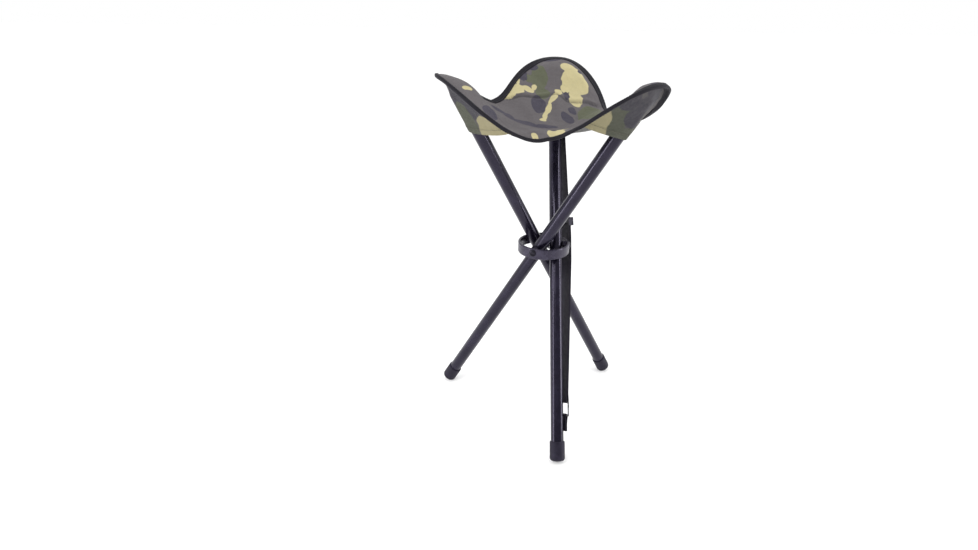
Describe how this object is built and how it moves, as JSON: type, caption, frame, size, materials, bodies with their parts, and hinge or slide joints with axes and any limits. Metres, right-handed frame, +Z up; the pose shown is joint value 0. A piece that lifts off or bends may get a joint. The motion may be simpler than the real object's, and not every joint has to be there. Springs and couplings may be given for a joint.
{
  "type": "three leg stool",
  "caption": "Folding tripod camp stool: three crossed tube legs in a hub ring, a three-cornered camouflage cloth seat and a webbing carry strap.",
  "frame": {"origin": "on the floor, on the vertical axis of the hub ring", "axes": "+Z up; -Y towards the foot of leg 1, the front leg that carries the strap; +X to the right seen from the front, along that leg's pivot"},
  "size_m": [0.3225, 0.3514, 0.5673],
  "materials": {
    "powder_coat": "glossy black powder coat over steel tube",
    "black_steel": "satin black oxide steel",
    "plain_steel": "bright plated steel",
    "moulded_nylon": "semi-gloss moulded black nylon",
    "cap_rubber": "matte black rubber",
    "camo_cloth": "plain-woven coated polyester, four-colour woodland camouflage in tan, olive, grey-brown and near-black",
    "binding_tape": "black ribbed binding tape, stitched",
    "strap_webbing": "black woven webbing"
  },
  "bodies": {
    "hub": {"hub_ring": "moulded_nylon", "pivot_rivet_1": "black_steel", "pivot_rivet_2": "black_steel", "pivot_rivet_3": "black_steel", "pivot_washer_1": "moulded_nylon", "pivot_washer_2": "moulded_nylon", "pivot_washer_3": "moulded_nylon", "inner_washer_1": "plain_steel", "inner_washer_2": "plain_steel", "inner_washer_3": "plain_steel", "seat_panel": "camo_cloth", "edge_binding": "binding_tape"},
    "leg_1": {"leg_tube_1": "powder_coat", "foot_cap_1": "cap_rubber", "top_plug_1": "moulded_nylon", "corner_pocket_1": "camo_cloth", "carry_strap": "strap_webbing", "strap_ring": "plain_steel", "strap_tab": "strap_webbing", "strap_top_rivet": "black_steel", "strap_tab_rivet": "black_steel"},
    "leg_2": {"leg_tube_2": "powder_coat", "foot_cap_2": "cap_rubber", "top_plug_2": "moulded_nylon", "corner_pocket_2": "camo_cloth"},
    "leg_3": {"leg_tube_3": "powder_coat", "foot_cap_3": "cap_rubber", "top_plug_3": "moulded_nylon", "corner_pocket_3": "camo_cloth"},
    "slider": {"strap_slider": "moulded_nylon"}
  },
  "joints": [
    {"name": "leg_1_pivot", "type": "hinge", "parent": "hub", "child": "leg_1", "pos_m": [0.0195, 0, 0.29449], "axis": [1, 0, 0], "range_deg": [0, 30.5], "deforming": ["seat_panel", "edge_binding"]},
    {"name": "leg_2_pivot", "type": "hinge", "parent": "hub", "child": "leg_2", "pos_m": [-0.00975, -0.01689, 0.29449], "axis": [-0.5, -0.866, 0], "range_deg": [0, 30.5]},
    {"name": "leg_3_pivot", "type": "hinge", "parent": "hub", "child": "leg_3", "pos_m": [-0.00975, 0.01689, 0.29449], "axis": [-0.5, 0.866, 0], "range_deg": [0, 30.5]},
    {"name": "strap_slide", "type": "slide", "parent": "leg_1", "child": "slider", "axis": [-0.056, 0.4274, 0.9023], "range_m": [-0.01, 0.1]}
  ],
  "couplings": [
    {"joint": "leg_2_pivot", "follows": "leg_1_pivot", "ratio": 1},
    {"joint": "leg_3_pivot", "follows": "leg_1_pivot", "ratio": 1}
  ]
}
